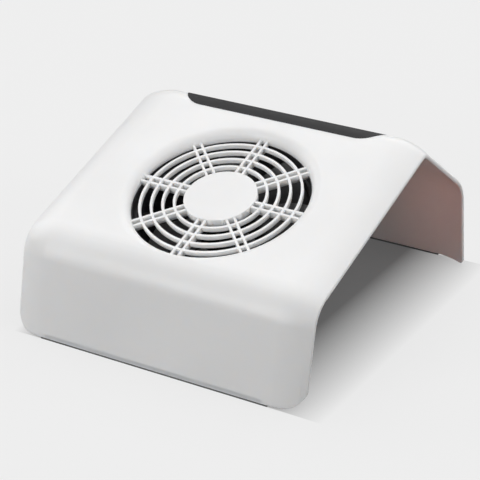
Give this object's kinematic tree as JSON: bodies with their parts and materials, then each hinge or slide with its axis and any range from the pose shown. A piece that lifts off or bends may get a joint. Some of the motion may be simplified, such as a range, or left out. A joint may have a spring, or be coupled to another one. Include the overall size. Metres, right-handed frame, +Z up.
{
  "type": "nail dust collector",
  "caption": "Desktop nail dust collector: a white moulded arch with a round intake grille and fan in its sloping top, a dark inlay strip on the peak and a dust bag under the fan.",
  "frame": {"origin": "centre of the footprint on the table", "axes": "+X along the tunnel under the arch, +Y from the hand-rest leg to the leg with the controls, +Z up"},
  "size_m": [0.23, 0.2698, 0.1272],
  "materials": {
    "white_shell": "satin-gloss moulded white",
    "smoked_panel": "dark grey satin",
    "tape": "double-sided tape",
    "foot_rubber": "matt",
    "black_plastic": "fine texture",
    "fan_black": "satin",
    "steel": "turned",
    "screw_steel": "zinc plated",
    "magnet": "sintered",
    "lamination": "stacked laminations",
    "copper": "enamelled copper wire",
    "circuit_board": "solder mask",
    "component_black": "moulded",
    "brass_contact": "tinned",
    "wire_white": "sleeved",
    "wire_dark": "insulated",
    "cover_plastic": "moulded white",
    "bag_cloth": "non-woven cloth",
    "elastic": "knitted elastic"
  },
  "bodies": {
    "housing": {"top_shell": "white_shell", "inlay_strip": "smoked_panel", "inlay_tape": "tape", "foot_strip_near": "foot_rubber", "foot_strip_far": "foot_rubber", "fan_housing": "black_plastic", "fan_screws": "screw_steel", "bearing_tube": "brass_contact", "bearing_upper": "steel", "bearing_lower": "steel", "stator_core": "lamination", "stator_windings": "copper", "motor_board": "circuit_board", "switch_body": "black_plastic", "switch_terminals": "brass_contact", "potentiometer": "steel", "pot_nut": "screw_steel", "power_jack": "black_plastic", "jack_contacts": "brass_contact", "jack_nut": "screw_steel", "control_board": "circuit_board", "board_components": "component_black", "electronics_cover": "cover_plastic", "cover_screws": "screw_steel", "jack_wires": "wire_dark", "switch_wire": "wire_dark", "fan_lead": "wire_white", "dust_bag": "bag_cloth", "bag_elastic": "elastic"},
    "fan_rotor": {"impeller": "fan_black", "rotor_can": "steel", "rotor_magnet": "magnet", "motor_shaft": "steel", "shaft_clip": "steel"},
    "switch_cap": {"switch_rocker": "component_black"},
    "knob": {"speed_knob": "black_plastic", "pot_shaft": "steel"}
  },
  "joints": [
    {"name": "fan_spin", "type": "hinge", "parent": "housing", "child": "fan_rotor", "pos_m": [0, -0.03762, 0.08035], "axis": [0, -0.319, 0.9478], "continuous": true},
    {"name": "rocker_tilt", "type": "hinge", "parent": "housing", "child": "switch_cap", "pos_m": [-0.068, 0.12572, 0.04261], "axis": [-1, 0, 0], "range_deg": [0, 16]},
    {"name": "knob_turn", "type": "hinge", "parent": "housing", "child": "knob", "pos_m": [-0.034, 0.12819, 0.043], "axis": [0, 0.9877, 0.1564], "range_deg": [-135, 135]}
  ]
}
